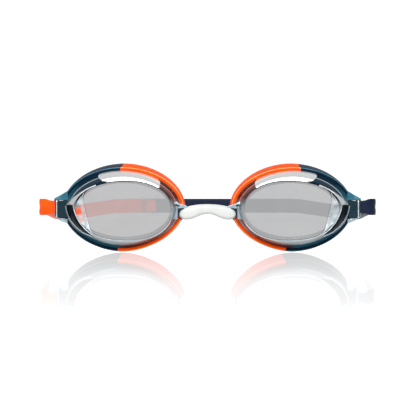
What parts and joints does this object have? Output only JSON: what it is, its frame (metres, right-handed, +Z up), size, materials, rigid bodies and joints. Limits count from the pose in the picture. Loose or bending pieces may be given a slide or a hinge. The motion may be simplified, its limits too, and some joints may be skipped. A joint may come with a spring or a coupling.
{
  "type": "swim goggles",
  "caption": "Low-profile swim goggles: clear cups with mirrored lenses, two-colour soft gaskets, an arched nose bridge and an adjustable head strap.",
  "frame": {"origin": "centre of the box at floor level, below the middle of the strap loop, with the goggles resting on their gaskets and on the clip of the strap", "axes": "+X to the wearer's left, -Y the way the wearer looks, +Z up"},
  "size_m": [0.1494, 0.1448, 0.0391],
  "materials": {
    "clear_frame": "clear smoke-tinted polycarbonate, polished",
    "mirror_lens": "silver mirror coating on polycarbonate",
    "orange_gasket": "satin soft silicone, orange",
    "navy_gasket": "satin soft silicone, dark navy",
    "white_bridge": "satin soft silicone, white",
    "orange_strap": "satin silicone band, orange",
    "navy_strap": "satin silicone band, dark navy",
    "clear_clip": "clear polycarbonate, polished"
  },
  "bodies": {
    "bridge": {"nose_bridge": "white_bridge"},
    "right_cup": {"right_frame": "clear_frame", "right_lens": "mirror_lens", "right_gasket_nose_side": "orange_gasket", "right_gasket_temple_side": "navy_gasket"},
    "left_cup": {"left_frame": "clear_frame", "left_lens": "mirror_lens", "left_gasket_nose_side": "orange_gasket", "left_gasket_temple_side": "navy_gasket"},
    "right_strap": {"right_strap": "orange_strap"},
    "left_strap": {"left_strap": "navy_strap"},
    "clip": {"strap_clip": "clear_clip"}
  },
  "joints": [
    {"name": "right_cup_flex", "type": "hinge", "parent": "bridge", "child": "right_cup", "pos_m": [-0.00935, -0.06628, 0.02172], "axis": [0, 0.1181, 0.993], "range_deg": [-10, 6], "stiffness_Nm_per_rad": 0.02},
    {"name": "left_cup_flex", "type": "hinge", "parent": "bridge", "child": "left_cup", "pos_m": [0.00935, -0.06628, 0.02172], "axis": [0, 0.1181, 0.993], "range_deg": [-6, 10], "stiffness_Nm_per_rad": 0.02},
    {"name": "right_strap_pivot", "type": "hinge", "parent": "right_cup", "child": "right_strap", "pos_m": [-0.0662, -0.05238, 0.02007], "axis": [0, 0.1181, 0.993], "range_deg": [-6, 10]},
    {"name": "left_strap_pivot", "type": "hinge", "parent": "left_cup", "child": "left_strap", "pos_m": [0.0662, -0.05238, 0.02007], "axis": [0, 0.1181, 0.993], "range_deg": [-10, 6]},
    {"name": "clip_slide", "type": "slide", "parent": "left_strap", "child": "clip", "axis": [1, 0, 0], "range_m": [-0.006, 0.005]}
  ],
  "couplings": [
    {"joint": "left_cup_flex", "follows": "right_cup_flex", "ratio": -1},
    {"joint": "right_strap_pivot", "follows": "right_cup_flex", "ratio": -1},
    {"joint": "left_strap_pivot", "follows": "right_cup_flex", "ratio": 1}
  ]
}
